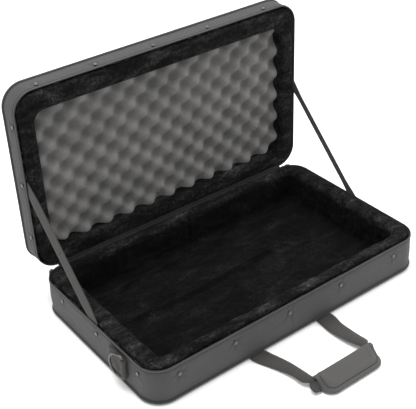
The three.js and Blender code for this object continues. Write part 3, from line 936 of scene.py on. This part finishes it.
def handle_webbing():
    """The loop of webbing: each leg folds lengthwise and narrows towards the grip."""
    left, right = LEGS
    grip_left, grip_right = WRAP_LOW[0] - 6, WRAP_HIGH[0] + 6
    bar_y = WRAP_LOW[1] + 30
    stations = [
        [left, PIVOT_Y, 1.7, *ACROSS, 33, 0],
        [left + 3, PIVOT_Y - 14, 2.0, 1, 0.05, 0.05, 31, 0.5],
        [left + 9, PIVOT_Y - 34, 3.2, 1, 0.1, 0.12, 27, 1.5],
        [left + 14, PIVOT_Y - 56, 5.4, 1, 0.08, 0.18, 23, 3.0],
        [left + 17, PIVOT_Y - 78, 7.6, 1, 0.0, 0.15, 20, 4.0],
        [left + 18, PIVOT_Y - 97, 8.6, 1, -0.2, 0.1, 21, 4.0],
        [grip_left + 3, PIVOT_Y - 116, 8.6, 0.6, -0.8, 0.0, 21, 2.0],
        [grip_left + 18, bar_y, 9.6, 0.05, -1, 0, 16, 1.0],
        [grip_left + 40, bar_y - 1, 9.6, 0, -1, 0, 16, 1.0],
        [grip_right - 40, bar_y - 1, 9.6, 0, -1, 0, 16, 1.0],
        [grip_right - 18, bar_y, 9.6, -0.05, -1, 0, 16, 1.0],
        [grip_right - 4, PIVOT_Y - 108, 9.2, -0.75, -0.66, 0.0, 18, 2.0],
        [right - 1, PIVOT_Y - 94, 8.4, -1, -0.05, 0.1, 23, 3.0],
        [right - 3, PIVOT_Y - 76, 6.6, -1, 0.0, 0.12, 28, 2.5],
        [right - 4, PIVOT_Y - 54, 4.6, -1, 0.0, 0.1, 31, 1.5],
        [right - 4, PIVOT_Y - 32, 3.0, -1, 0.0, 0.05, 32, 0.8],
        [right - 1, PIVOT_Y - 14, 2.0, -1, 0, 0, 33, 0.3],
        [right, PIVOT_Y, 1.7, -1, 0, 0, 33, 0],
    ]
    ribbon_piece("handle_loop_webbing", stations, "handle", nodes=["handle_webbing"], thickness=2.2)
    fold = [
        [grip_left + 2, bar_y + 6, 11.0, 0.3, -0.9, 0.3, 15, 0],
        [grip_left - 4, bar_y - 3, 7.5, 0.6, -0.7, -0.3, 17, 1],
        [grip_left - 3, bar_y - 9, 3.6, 0.9, -0.2, -0.3, 13, 1],
        [grip_left + 5, bar_y - 8, 2.4, 0.9, 0.3, 0, 8, 0],
    ]
    ribbon_piece("handle_loop_fold", fold, "handle", thickness=2.0, step=1.5)


WRAP_ROUND = 21.0  # plan radius of the wrap's front corners


def wrap_rows(offset):
    """Sections of the wrap along its length, `offset` inside its outer face."""
    tip = WRAP_LOW[1] + 0.5
    rows = []
    length = WRAP_HIGH[0] - WRAP_LOW[0]
    # closer together at the ends, where the front corners turn
    for t in (1 - np.cos(np.linspace(0, math.pi, 44))) / 2:
        x = WRAP_LOW[0] - 1 + t * (length + 5)
        end = min(x - WRAP_LOW[0] + 1, WRAP_HIGH[0] + 4 - x)
        cut = WRAP_ROUND - math.sqrt(max(WRAP_ROUND ** 2 - max(WRAP_ROUND - end, 0) ** 2, 0))
        front = tip + cut * 0.92
        swell = 0.8 * math.sin(math.pi * t)
        back = WRAP_HIGH[1]
        middle = (front + back) / 2
        outer = [(front, 3.0), (front + 0.8, 5.4), (front + 6, 7.2 + swell), (middle - 1, 15.4 + swell),
                 (back - 12, 20.4), (back - 5, 20.6), (back - 0.6, 15.5), (back, 9.5), (back - 2, 3.4),
                 (back - 8, 1.0), (middle, 0.9), (front + 6, 1.2), (front + 1, 1.4)]
        inner = [(front + 5, 4.0), (front + 6, 4.4), (front + 11, 5.0), (middle + 1, 10.2),
                 (back - 11, 15.6), (back - 7.4, 15.4), (back - 4.6, 12.4), (back - 4.4, 9.0),
                 (back - 5.8, 6.2), (back - 9.4, 4.6), (middle, 4.2), (front + 8, 3.8), (front + 6, 3.8)]
        ring = np.array(outer if offset == 0 else inner)
        rows.append(np.column_stack([np.full(len(ring), x), ring]))
    return np.array(rows)


def subdivided(grid, times=2):
    """A grid with extra columns on a smooth curve through its columns."""
    for _ in range(times):
        following = np.roll(grid, -1, axis=1)
        before, after = np.roll(grid, 1, axis=1), np.roll(grid, -2, axis=1)
        between = (9 * (grid + following) - before - after) / 16
        grid = np.stack([grid, between], axis=2).reshape(grid.shape[0], -1, 3)
    return grid


def grip_wrap():
    """The padded sleeve folded round the handle's bar, with a stitched border."""
    outer = subdivided(wrap_rows(0))
    inner = subdivided(wrap_rows(1))
    tip = WRAP_LOW[1] + 0.5
    middle_x = (WRAP_LOW[0] + WRAP_HIGH[0]) / 2 + 1.5
    half = (WRAP_HIGH[0] - WRAP_LOW[0]) / 2 + 2.5
    inset = 6.5
    corner = WRAP_ROUND - inset
    # distance of each point from the border line, in plan
    px = np.abs(outer[..., 0] - middle_x)
    py = outer[..., 1]
    line_x, line_y = half - inset, tip + inset
    dx, dy = px - (line_x - corner), (line_y + corner) - py
    rounded = np.hypot(np.maximum(dx, 0), np.maximum(dy, 0)) - corner
    distance = np.where((dx > 0) & (dy > 0), rounded, np.maximum(px - line_x, line_y - py))
    upper = smoothstep(outer[..., 2], 4.6, 6.5)
    outer[..., 2] -= 0.9 * np.exp(-(distance / 1.5) ** 2) * upper
    outer[..., 2] += 0.7 * np.exp(-((distance + 5) / 5) ** 2) * upper
    grid = np.concatenate([outer, inner[::-1]])
    wrap = grid_piece("grip_wrap", grid, GRIP, "handle", ["handle_wrap"], closed_rows=True)
    stitch_border(outer, middle_x, line_x, line_y, corner)


def stitch_border(outer, middle_x, line_x, line_y, corner):
    """Stitches along the wrap's border, laid on its upper face."""
    back_y = WRAP_HIGH[1] - 10
    path = [(middle_x - line_x, back_y)]
    for sign, start in ((-1, math.pi), (1, 1.5 * math.pi)):
        centre_x = middle_x + sign * (line_x - corner)
        for a in np.linspace(start, start + math.pi / 2, 9):
            path.append((centre_x + corner * math.cos(a), line_y + corner + corner * math.sin(a)))
    path.append((middle_x + line_x, back_y))
    path = resampled(path, 1.8)
    top = outer[outer[..., 2] > 5.0]
    placed = []
    for x, y in path:
        near = np.argsort((top[:, 0] - x) ** 2 + (top[:, 1] - y) ** 2)[:3]
        placed.append((x, y, top[near, 2].mean() + 0.25))
    stitches("grip_stitching", [np.array(placed)], "handle", (0, -0.4, 1), length=2.6, pitch=3.2, radius=0.6)


def handle_anchors():
    """The sewn ends of the handle's webbing, flat against the underside, with a boxed cross of stitches."""
    for side, x in zip(("left", "right"), LEGS):
        node = f"handle_anchor_{side}"
        low, high = box_mm(node)
        z = (low[2] + high[2]) / 2 - 0.05
        stations = [[x, y, z, *ACROSS, 32] for y in np.linspace(low[1], high[1], 5)]
        ribbon_piece(f"{node}_webbing", stations, "base", nodes=[node], thickness=2.2)
        x0, x1, y0, y1 = x - 12, x + 12, low[1] + 14, high[1] - 5
        under = low[2] - 0.02
        lines = boxed_cross((x0, y0, under), (x1, y0, under), (x1, y1, under), (x0, y1, under))
        stitches(f"{node}_stitches", lines, "base", (0, 0, 1), radius=0.28)


handle_webbing()
grip_wrap()
handle_anchors()


# ---- rivets

def turned(profile, centre, axis, count=20):
    """A solid turned about an axis, from rows of (radius, distance along the axis)."""
    axis = np.array(axis, float)
    axis = unit(axis)
    side = np.cross(axis, (0, 0, 1) if abs(axis[2]) < 0.9 else (1, 0, 0))
    side = unit(side)
    other = np.cross(axis, side)
    angles = turn_angles(count)
    spokes = [math.cos(a) * side + math.sin(a) * other for a in angles]
    rows = [[centre + radius * spoke + along * axis for spoke in spokes] for radius, along in profile]
    return grid_mesh(np.array(rows))


def rivets():
    """Tubular rivets sunk in the cloth's puckers: a rolled ring round a dark hole."""
    cup = [(0.3, -3.0), (1.3, -2.9), (1.5, -0.6), (1.8, 0.3), (2.4, 0.5), (3.0, 0.2), (3.2, -0.6)]
    cup.append((2.9, -1.8))
    for part in ("base", "lid"):
        for node, centre in rivet_centres(part).items():
            low, high = box_mm(node)
            thin = int(np.argmin(high - low))
            axis = np.zeros(3)
            middle = np.array([0.0, 0.0, (RIM + LID_TOP[2]) / 2]) if part == "lid" else np.zeros(3)
            axis[thin] = 1.0 if centre[thin] > middle[thin] else -1.0
            face = centre + axis * ((high - low)[thin] / 2 - 1.2)
            eyelet = turned(cup, face, axis)
            mesh_piece(node.replace("rivet", "eyelet"), eyelet, RIVET_METAL, part, [node])


rivets()


# ---- D-rings

def tube(path, radius, closed=False, count=10, step=1.2):
    """A round wire along a path of points."""
    path = resampled(np.vstack([path, path[:1]]) if closed else path, step)
    if closed:
        path = path[:-1]
        tangent = np.roll(path, -1, 0) - np.roll(path, 1, 0)
    else:
        tangent = np.gradient(path, axis=0)
    tangent = unit(tangent)
    flat = np.linalg.svd(path - path.mean(0))[2][2]
    angles = turn_angles(count)
    rows = []
    for point, ahead in zip(path, tangent):
        side = np.cross(flat, ahead)
        rows.append([point + radius * (math.cos(a) * flat + math.sin(a) * side) for a in angles])
    return grid_mesh(np.array(rows), closed_rows=closed)


def d_rings():
    """A D of round wire in a folded, box-stitched webbing tab at each end of the base."""
    for side, sign in (("left", -1), ("right", 1)):
        low, high = box_mm(f"dring_{side}")
        middle_z = (low[2] + high[2]) / 2
        bar_x, bar_y = sign * RING_BAR[0], RING_BAR[1]
        tilt = math.radians(RING_TILT[side])
        reach, half, bend = 32.0, 23.0, 7.0
        outline_2d = [(0, -half + bend), (0, half - bend)]
        for a in np.linspace(math.pi, math.pi / 2, 6):
            outline_2d.append((bend + bend * math.cos(a), half - bend + bend * math.sin(a)))
        for a in np.linspace(math.pi / 2, -math.pi / 2, 22):
            bow = reach - 19
            outline_2d.append((bow + 19 * math.cos(a), half * math.sin(a)))
        for a in np.linspace(-math.pi / 2, -math.pi, 6):
            outline_2d.append((bend + bend * math.cos(a), -half + bend + bend * math.sin(a)))
        out, along = sign * math.sin(tilt), math.cos(tilt)
        path = [(bar_x + d * out, bar_y + d * along, middle_z + h) for d, h in outline_2d]
        node = f"dring_{side}"
        wire = tube(np.array(path), 2.05, closed=True)
        mesh_piece(f"{node}_wire", wire, RING_METAL, f"{node}_body", [node])

        tab_low, tab_high = box_mm(f"dring_tab_{side}")
        wall = sign * (HALF + 1.0)
        width = 38.0
        up = (0, 0, 1)
        start_y = tab_high[1] if tab_high[1] > bar_y + 20 else tab_low[1]
        turns = [(wall + sign * 1.1, start_y), (wall + sign * 1.2, start_y + 12 * np.sign(bar_y - start_y))]
        turns += [(wall + sign * 1.6, bar_y + 12 * np.sign(start_y - bar_y))]
        turns += [(wall + sign * 1.4, bar_y + 5 * np.sign(start_y - bar_y))]
        away = np.sign(bar_y - start_y)
        radius = 3.9
        loop = [(bar_x + sign * radius * math.cos(a), bar_y + away * radius * math.sin(a))
                for a in np.radians([200, 165, 120, 80, 40, 0, -40, -70])]
        ends = [(wall + sign * 4.4, bar_y - away * 9), (wall + sign * 3.9, bar_y - away * 16),
                (wall + sign * 3.8, start_y + away * 8), (wall + sign * 3.7, start_y + away * 2)]
        stations = [[x, y, middle_z, *up, width] for x, y in turns + loop + ends]
        ribbon_piece(f"dring_tab_{side}_webbing", stations, "base", nodes=[f"dring_tab_{side}"],
                     thickness=1.9, step=1.6)
        face = wall + sign * 4.9
        y0, y1 = sorted((start_y + away * 6, bar_y - away * 13))
        z0, z1 = middle_z - 14, middle_z + 14
        lines = boxed_cross((face, y0, z0), (face, y1, z0), (face, y1, z1), (face, y0, z1))
        stitches(f"dring_tab_{side}_stitches", lines, "base", (1, 0, 0), radius=0.35)


d_rings()


# ---- hinge

def hinge_cloth():
    """A strip of doubled cloth down the base's back wall, over the gap and up the lid's edge."""
    low, high = box_mm("hinge_strip")
    low_z = low[2]
    # out of the base's back wall, round the hinge line, and onto the lid's edge
    section = [(BACK + 0.9, low_z), (BACK + 1.2, low_z + 8), (BACK + 1.3, RIM - 3), (BACK + 1.4, RIM - 1.2)]
    section += [(BACK + 2.2, RIM - 0.1), (BACK + 4.0, RIM + 0.3), (BACK + 10.0, RIM - 0.4)]
    section.append((BACK + 18, RIM - 0.6))
    middle = resampled(np.array(section), 1.2)
    tangent = np.gradient(middle, axis=0)
    tangent = unit(tangent)
    normal = np.column_stack([-tangent[:, 1], tangent[:, 0]])
    closed = np.vstack([middle + normal * 0.45, (middle - normal * 0.45)[::-1]])
    xs = np.linspace(low[0], high[0], 176)
    grid = np.array([[(x, y, z) for y, z in closed] for x in xs])
    strip = grid_piece("hinge_cloth", grid, PIPING, None, ["hinge_strip"])
    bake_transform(strip)


hinge_cloth()


# ---- lid pocket

POCKET_NODES = sorted(n for n in frame["nodes"] if n.startswith("lid_pocket"))


def pocket():
    """A soft pocket sewn on the lid's outer face, swelling over its padding."""
    boxes = [box_mm(n) for n in POCKET_NODES]
    low = np.min([b[0] for b in boxes], axis=0)
    high = np.max([b[1] for b in boxes], axis=0)
    half = (high[0] - low[0]) / 2
    middle_z = (low[2] + high[2]) / 2
    face = LID_TOP[1]
    tall = high[2] - low[2]
    shares = (0.003, 0.015, 0.03, 0.06, 0.11, 0.17, 0.25, 0.35, 0.47, 0.6, 0.75, 0.9)
    insets = [share * tall / 2 for share in shares]
    rings = []
    crown = high[1] - face
    for inset in insets:
        points, _ = outline(half - inset, -tall / 2 + inset, tall / 2 - inset, max(34 - inset, 5), 4.0)
        rise = crown * (1 - math.exp(-inset / 22)) ** 1.0
        rings.append(np.column_stack([points[:, 0], np.full(len(points), face + 0.3 + rise * 0.93),
                                      middle_z + points[:, 1]]))
    grid = np.array(rings)
    bulge = rough(grid, 90, 3.0) * 0.8 + rough(grid, 28, 5.0) * 0.4
    fade = smoothstep(np.array(insets), 4, 40)[:, None]
    grid[..., 1] += bulge * fade * 0.7
    # flat over the zip
    zip_low, zip_high = box_mm("pocket_zipper")
    over = (grid[..., 0] > zip_low[0] - 8) & (grid[..., 0] < zip_high[0] + 8)
    over &= (np.abs(grid[..., 2] - (zip_low[2] + zip_high[2]) / 2) < 9)
    grid[..., 1] = np.where(over, np.minimum(grid[..., 1], zip_low[1] - 0.1), grid[..., 1])
    back = grid[::-1].copy()
    back[..., 1] = face - 0.2
    whole = np.concatenate([back[[0, -1]], grid])
    uv = whole[..., [0, 2]]
    uv = np.concatenate([uv, uv[:, :1]], axis=1)
    uv = np.concatenate([uv, uv[:1]], axis=0)
    cloth = grid_piece("lid_pocket_cloth", whole[::-1], NYLON, "lid", POCKET_NODES, caps=True,
                       uv=uv[::-1])
    cord = tube(grid[0], 1.1, closed=True, count=8, step=3.0)
    mesh_piece("lid_pocket_piping", cord, PIPING, "lid")


def pocket_zip():
    low, high = box_mm("pocket_zipper")
    middle = (low[2] + high[2]) / 2
    y = high[1] - 0.3
    stations = [[x, y - 0.3, middle, 0, 0, 1, high[2] - low[2]] for x in np.linspace(low[0], high[0], 9)]
    ribbon_piece("pocket_zip_tape", stations, "lid", "zip_tape", ["pocket_zipper"], TAPE,
                 thickness=0.9, step=8)
    length = high[0] - low[0] - 8
    count = round(length / 1.0)
    xs = np.linspace(low[0] + 4, high[0] - 4, count)
    angles = turn_angles(8)
    rows = []
    for i, x in enumerate(xs):
        size = 1 + 0.22 * math.cos(math.pi * i / 1.5)
        tall, wide = 0.55 * size, 1.6 * size
        rows.append([(x, y + 0.2 + tall * math.sin(a), middle + wide * math.cos(a)) for a in angles])
    mesh_piece("pocket_zip_coil", grid_mesh(np.array(rows)), COIL, "lid")


def pocket_runner():
    """The pocket's zip slider, with its pull lying along the zip."""
    low, high = box_mm("pocket_slider")
    middle = (low[2] + high[2]) / 2
    base_y = low[1] + 0.9
    body = [(low[0] + 0.5, 3.0, 0.0), (low[0] + 2, 4.4, 2.2), (low[0] + 6, 4.6, 2.6), (low[0] + 10, 3.2, 2.4),
            (low[0] + 12, 2.6, 0.6)]
    rows = []
    for x, half_width, tall in body:
        ring = [(x, base_y + 0.2, middle - half_width), (x, base_y + 0.4 + tall * 0.7, middle - half_width),
                (x, base_y + 0.6 + tall, middle - half_width * 0.55),
                (x, base_y + 0.6 + tall, middle + half_width * 0.55),
                (x, base_y + 0.4 + tall * 0.7, middle + half_width), (x, base_y + 0.2, middle + half_width)]
        rows.append(ring)
    head = grid_mesh(np.array(rows, float))
    pull_y = high[1] - 1.0
    tag = [(low[0] + 9, 0.0, 3.6), (low[0] + 14, 0.6, 4.0), (low[0] + 20, 1.4, 6.4), (high[0] - 1, 1.8, 6.0)]
    stations = [[x, pull_y - drop, middle, 0, 0, 1, width] for x, drop, width in tag]
    pull = ribbon(stations, thickness=1.3, step=1.2)
    mesh_piece("pocket_zip_slider", join_meshes([head, pull]), SLIDER_METAL, "pocket_slider_body",
               ["pocket_slider"])


pocket()
pocket_zip()
pocket_runner()


# ---- lid handle

def lid_handle():
    """A plain loop of webbing hanging behind the open lid."""
    low, high = box_mm("lid_handle_webbing")
    centre_x = (low[0] + high[0]) / 2
    half = (high[0] - low[0]) / 2
    tilt = math.radians(LID_HANDLE_TILT)
    pivot_y, pivot_z = LID_PIVOT
    reach = (pivot_z - low[2]) / math.cos(tilt) - 2
    width = 28.0
    bar = reach - width / 2

    def at(u, d):
        return [centre_x + u, pivot_y + d * math.sin(tilt), pivot_z - d * math.cos(tilt)]

    edge = half - width / 2
    down = [0, math.sin(tilt), -math.cos(tilt)]
    stations = [[*at(-edge, 5), 1, 0, 0, width], [*at(-edge, 24), 1, 0, 0, width],
                [*at(-edge, bar - 34), 1, 0, 0, width]]
    turn = 20.0
    for sign, angles in ((-1, np.linspace(0, 90, 5)[1:]), (1, np.linspace(90, 180, 5)[:-1])):
        for w in np.radians(angles):
            across = [math.cos(w), down[1] * -math.sin(w), down[2] * -math.sin(w)]
            u = sign * (edge - turn * (1 + sign * math.cos(w)))
            stations.append([*at(u, bar - turn + turn * math.sin(w)), *across, width])
    stations += [[*at(edge, bar - turn), -1, 0, 0, width], [*at(edge, bar - 34), -1, 0, 0, width],
                 [*at(edge, 24), -1, 0, 0, width], [*at(edge, 5), -1, 0, 0, width]]
    ribbon_piece("lid_handle_loop", stations, "lid_handle", nodes=["lid_handle_webbing"], thickness=2.2)


lid_handle()


# ---- zip sliders

def zip_sliders():
    """A slider at each back corner of the rim, with a pull hanging from it."""
    for side in ("left", "right"):
        low, high = box_mm(f"zipper_slider_{side}")
        centre = (low + high) / 2
        sign = np.sign(centre[0])
        swing = math.radians(SLIDER_ANGLE)
        out = np.array([sign * math.cos(swing), math.sin(swing), 0])
        corner = np.array([sign * SLIDER_CORNER[0], SLIDER_CORNER[1], 0])
        middle = corner + out * 43.0 + np.array([0, 0, (low[2] + high[2]) / 2])
        along = np.array([-out[1], out[0], 0.0])
        up = np.array([0, 0, 1.0])
        tall = (high[2] - low[2]) / 2
        rows = []
        for s, wide, thick in ((-5.4, 0.55, 0.5), (-4.6, 0.8, 0.85), (-1.5, 1.0, 1.0), (2.5, 0.95, 1.0),
                               (4.6, 0.7, 0.85), (5.4, 0.5, 0.5)):
            ring = []
            for a in turn_angles(16):
                c, d = math.cos(a), math.sin(a)
                c = math.copysign(abs(c) ** 0.6, c)
                d = math.copysign(abs(d) ** 0.6, d)
                ring.append(middle + along * s + up * tall * wide * c + out * 2.0 * thick * d)
            rows.append(ring)
        mesh_piece(f"zip_slider_{side}", grid_mesh(np.array(rows)), SLIDER_METAL, f"slider_{side}",
                   [f"zipper_slider_{side}"])
        node = f"zipper_pull_{side}"
        pull_low, pull_high = box_mm(node)
        face = corner + out * 46.2
        heights = [(pull_high[2] - 0.4, 3.4), (pull_high[2] - 4, 3.6), (pull_low[2] + 12, 5.2),
                   (pull_low[2] + 4, 7.0), (pull_low[2] + 0.6, 5.6)]
        stations = [[*(face + up * z), *along, width] for z, width in heights]
        tag = ribbon(stations, thickness=1.4, step=1.0)
        mesh_piece(f"zip_pull_{side}", tag, SLIDER_METAL, f"pull_{side}", [node])


zip_sliders()


# ---- hidden cores

def cad_materials():
    """CAD pieces that stay, the cut foam cores between cloth and lining, get the foam's material."""
    for name, obj in list(bpy.data.objects.items()):
        if name in frame["nodes"] and obj.type == "MESH" and "foam_shell" in name:
            obj.data.materials.clear()
            obj.data.materials.append(CORE_FOAM)


cad_materials()


# ---- floor and light

FLOOR_REACH = 12.0
FLOOR_LEVEL = -0.0016  # just below the lowest cord


def floor():
    """A wide, flat, pale floor."""
    n = Nodes("floor")
    tint = n.ramp(n.noise(60, 3, 0.5), [(0.2, (0.90,) * 3), (0.8, (0.94,) * 3)])
    paint = n.done(tint, 0.9, Specular_IOR_Level=0.1)
    mesh = bpy.data.meshes.new("floor")
    corners = [(-1, -1), (1, -1), (1, 1), (-1, 1)]
    verts = [(FLOOR_REACH * x, FLOOR_REACH * y, FLOOR_LEVEL) for x, y in corners]
    mesh.from_pydata(verts, [], [(0, 1, 2, 3)])
    mesh.materials.append(paint)
    obj = bpy.data.objects.new("floor", mesh)
    bpy.context.scene.collection.objects.link(obj)


def area_light(name, place, target, size, power):
    data = bpy.data.lights.new(name, "AREA")
    data.shape = "RECTANGLE"
    data.size, data.size_y = size
    data.energy = power
    lamp = bpy.data.objects.new(name, data)
    bpy.context.scene.collection.objects.link(lamp)
    ahead = Vector(target) - Vector(place)
    turn = ahead.to_track_quat("-Z", "Y").to_matrix().to_4x4()
    lamp.matrix_world = Matrix.Translation(Vector(place)) @ turn


def lights():
    """A big soft source overhead, a fill from the front left, and a near-white surround."""
    area_light("overhead", (-0.2, 0.3, 2.4), (0, 0, 0), (1.6, 1.6), 62)
    area_light("front_left", (-2.0, -2.0, 1.5), (0, 0, 0.1), (1.4, 1.4), 7)
    area_light("right", (2.2, -0.6, 1.4), (0, 0, 0.1), (1.2, 1.2), 16)
    world = bpy.data.worlds.new("surround")
    world.use_nodes = True
    background = world.node_tree.nodes["Background"]
    background.inputs[0].default_value = (1, 1, 1, 1)
    background.inputs[1].default_value = 1.0
    bpy.context.scene.world = world
    bpy.context.scene.view_settings.view_transform = "Standard"


floor()
lights()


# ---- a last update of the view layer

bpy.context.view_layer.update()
